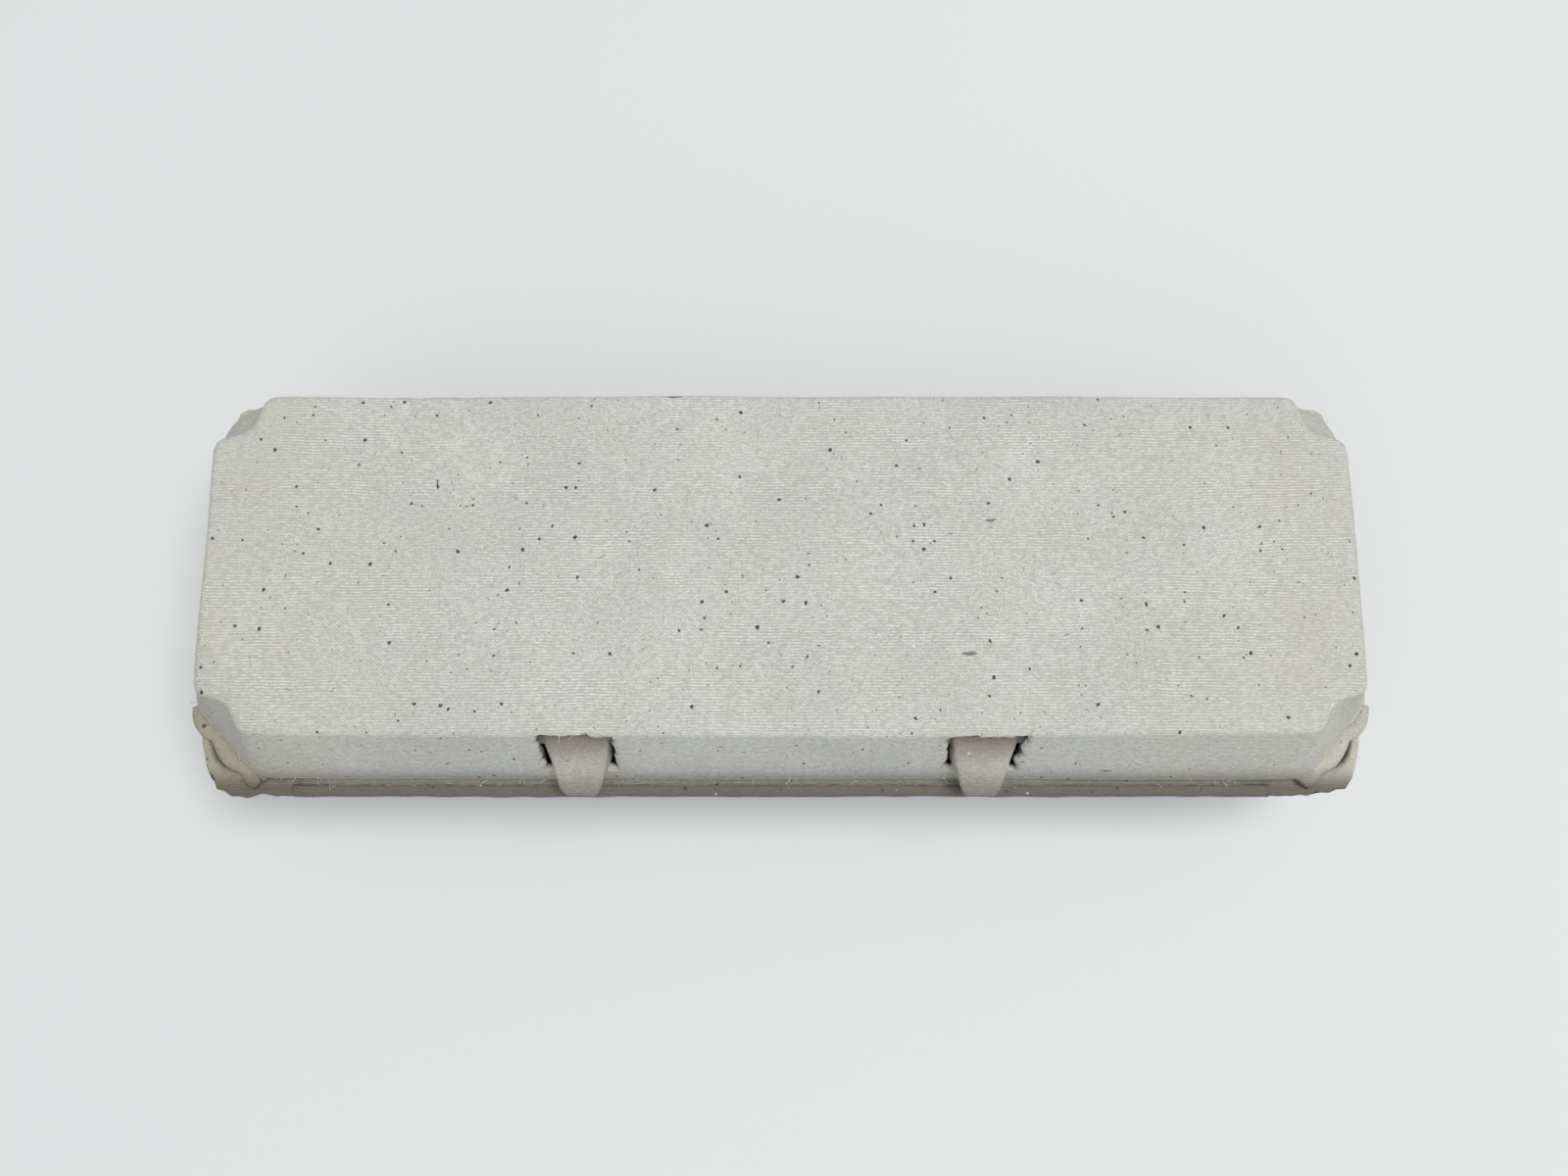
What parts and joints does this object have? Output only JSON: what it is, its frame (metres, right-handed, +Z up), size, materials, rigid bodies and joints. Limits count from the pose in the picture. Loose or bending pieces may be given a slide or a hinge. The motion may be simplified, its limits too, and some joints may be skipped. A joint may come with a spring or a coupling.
{
  "type": "egg carton",
  "caption": "Moulded pulp egg carton: cell tray with posts, hinged lid with latch windows, and a hinged locking flap with latch bosses.",
  "frame": {"origin": "middle of the bounding box, on the surface that the feet of the cups stand on, with the lid closed", "axes": "+X along the carton's length, +Y from the latch side to the hinge side, +Z up, out of the lid's top panel"},
  "size_m": [0.298, 0.1042, 0.066],
  "materials": {
    "moulded_pulp": "matte grey recycled pulp with a fine screen imprint, dark specks and pale fibres"
  },
  "bodies": {
    "tray": {"egg_cup_front_1": "moulded_pulp", "egg_cup_front_2": "moulded_pulp", "egg_cup_front_3": "moulded_pulp", "egg_cup_front_4": "moulded_pulp", "egg_cup_front_5": "moulded_pulp", "egg_cup_front_6": "moulded_pulp", "egg_cup_rear_1": "moulded_pulp", "egg_cup_rear_2": "moulded_pulp", "egg_cup_rear_3": "moulded_pulp", "egg_cup_rear_4": "moulded_pulp", "egg_cup_rear_5": "moulded_pulp", "egg_cup_rear_6": "moulded_pulp", "post_1": "moulded_pulp", "post_2": "moulded_pulp", "post_3": "moulded_pulp", "post_4": "moulded_pulp", "post_5": "moulded_pulp", "tray_front_wall": "moulded_pulp", "tray_rear_wall": "moulded_pulp", "tray_left_wall": "moulded_pulp", "tray_right_wall": "moulded_pulp", "tray_corner_front_left": "moulded_pulp", "tray_corner_front_right": "moulded_pulp", "tray_corner_rear_left": "moulded_pulp", "tray_corner_rear_right": "moulded_pulp", "lid_hinge_fold": "moulded_pulp", "flap_hinge_fold": "moulded_pulp"},
    "lid": {"lid_top_panel": "moulded_pulp", "lid_front_wall": "moulded_pulp", "lid_rear_wall": "moulded_pulp", "lid_left_wall": "moulded_pulp", "lid_right_wall": "moulded_pulp", "lid_corner_front_left": "moulded_pulp", "lid_corner_front_right": "moulded_pulp", "lid_corner_rear_left": "moulded_pulp", "lid_corner_rear_right": "moulded_pulp"},
    "flap": {"lock_flap": "moulded_pulp", "latch_boss_left": "moulded_pulp", "latch_boss_right": "moulded_pulp"}
  },
  "joints": [
    {"name": "lid_hinge", "type": "hinge", "parent": "tray", "child": "lid", "pos_m": [0, 0.0503, 0.04], "axis": [-1, 0, 0], "range_deg": [0, 180], "deforming": ["latch_boss_left", "latch_boss_right", "lid_hinge_fold"]},
    {"name": "flap_hinge", "type": "hinge", "parent": "tray", "child": "flap", "pos_m": [0, -0.0503, 0.04], "axis": [1, 0, 0], "range_deg": [0, 180], "deforming": ["flap_hinge_fold"]}
  ],
  "couplings": [
    {"joint": "flap_hinge", "follows": "lid_hinge", "ratio": 1}
  ]
}
